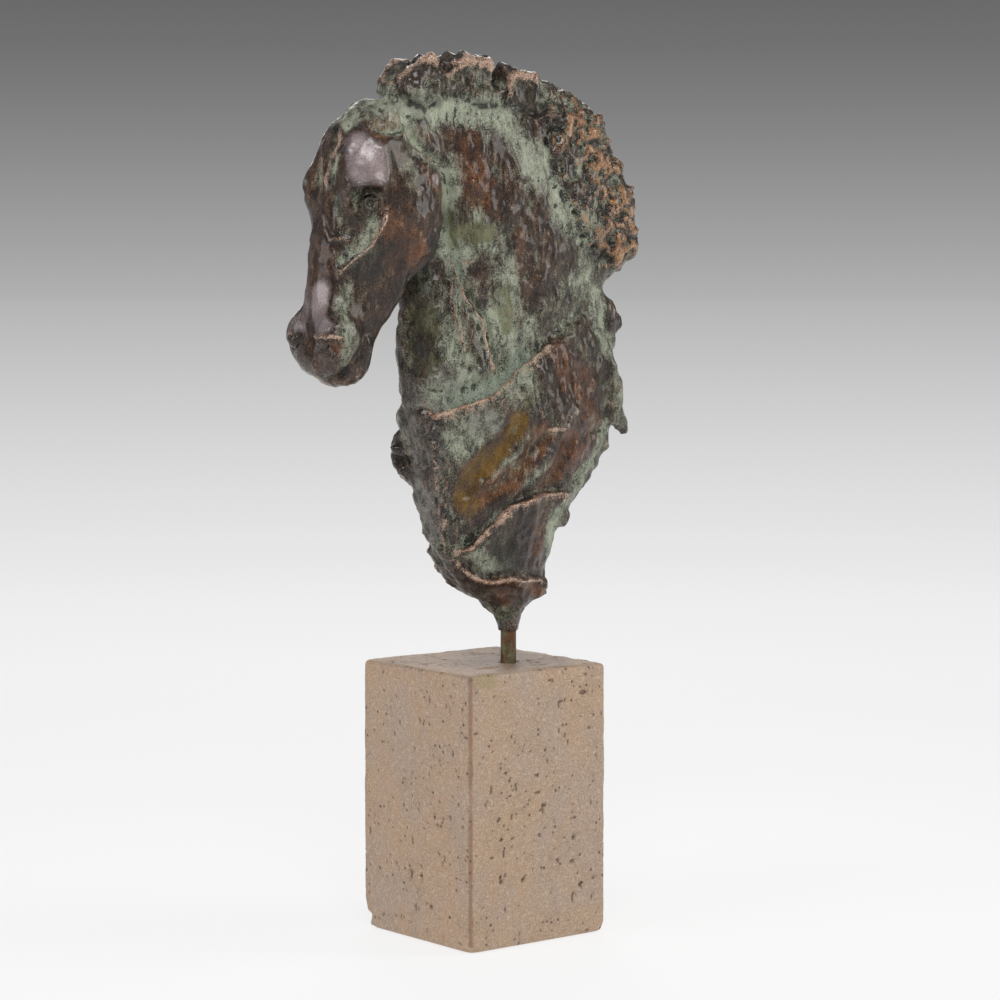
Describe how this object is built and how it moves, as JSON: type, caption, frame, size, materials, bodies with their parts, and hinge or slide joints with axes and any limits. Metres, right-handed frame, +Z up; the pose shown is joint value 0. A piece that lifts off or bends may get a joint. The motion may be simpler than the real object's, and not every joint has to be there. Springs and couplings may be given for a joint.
{
  "type": "horse head sculpture",
  "caption": "Bronze horse head and neck with a rough mane and worn green patina, tapering to a short rod set in a square travertine block.",
  "frame": {"origin": "centre of the travertine block's flat underside", "axes": "+Z up; the horse looks along -X, and its left side faces -Y; the block's sides run along X and Y"},
  "size_m": [0.2323, 0.1, 0.5006],
  "materials": {
    "patinated_bronze": "dark brown bronze with green verdigris in the recesses and copper-coloured worn ridges",
    "rod_metal": "dull brown metal with a green stain on one side",
    "travertine": null
  },
  "bodies": {
    "root": {"horse_head": "patinated_bronze", "support_rod": "rod_metal", "travertine_block": "travertine"}
  },
  "joints": []
}
